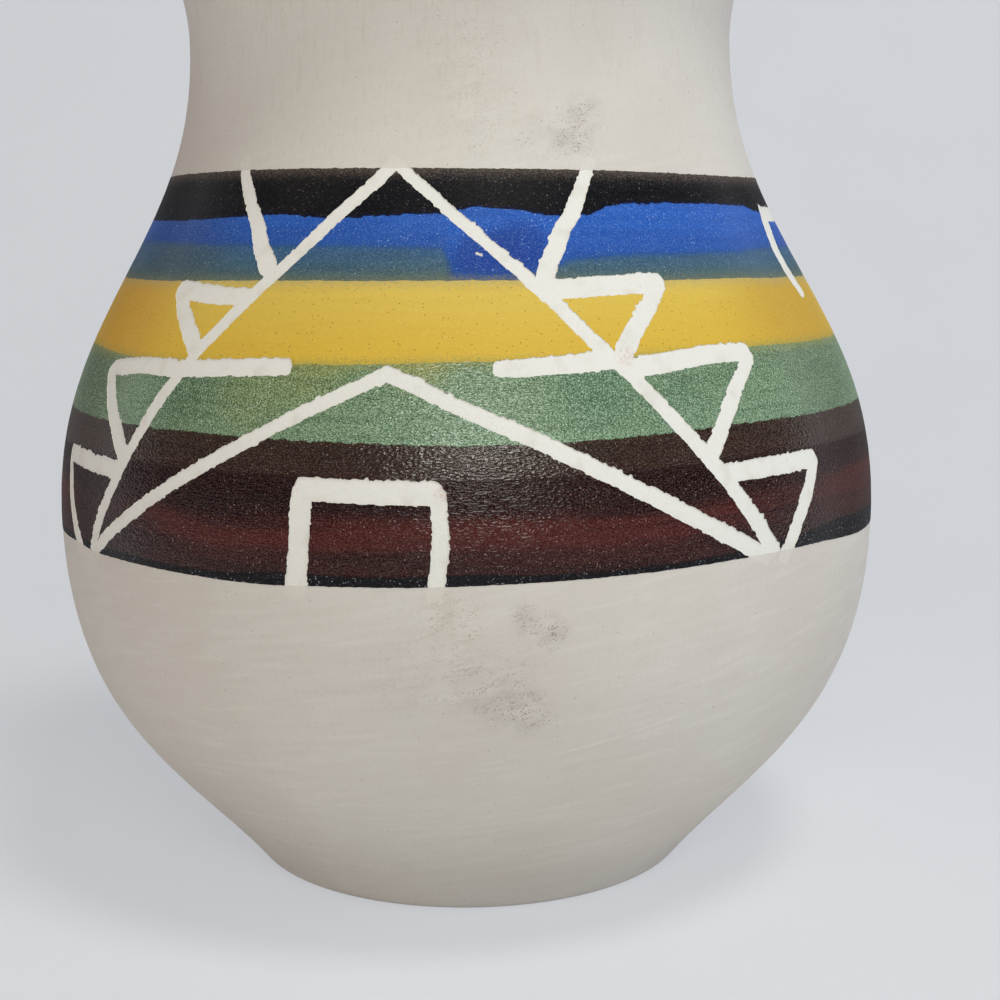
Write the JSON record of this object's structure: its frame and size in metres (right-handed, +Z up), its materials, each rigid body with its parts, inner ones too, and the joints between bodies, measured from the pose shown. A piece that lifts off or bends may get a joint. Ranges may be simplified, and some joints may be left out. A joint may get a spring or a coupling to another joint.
{
  "type": "pottery vase",
  "caption": "Round-bellied pottery vase with a flared neck, striped colour bands and a scratched tent drawing, for flowers or show.",
  "frame": {"origin": "centre of the flat foot that the vase stands on", "axes": "+Z up along the axis of the vase, towards the rim; -Y towards the side with the tall tent drawing"},
  "size_m": [0.1028, 0.1028, 0.122],
  "materials": {
    "fired_clay": "matt, fine-grained, unglazed",
    "lining_glaze": "glossy, clear over pale clay",
    "dark_edge_paint": "satin, fine-grained",
    "maroon_paint": "satin, fine-grained",
    "brown_paint": "satin, fine-grained",
    "green_paint": "satin, fine-grained",
    "yellow_paint": "matt, fine-grained with pinholes",
    "teal_paint": "matt, speckled",
    "blue_paint": "matt, speckled",
    "black_paint": "matt, brushed at its upper edge"
  },
  "bodies": {
    "root": {"clay_body": "fired_clay", "glaze_lining": "lining_glaze", "dark_edge_band": "dark_edge_paint", "maroon_band": "maroon_paint", "brown_band": "brown_paint", "green_band": "green_paint", "yellow_band": "yellow_paint", "teal_band": "teal_paint", "blue_band": "blue_paint", "black_band": "black_paint"}
  },
  "joints": []
}
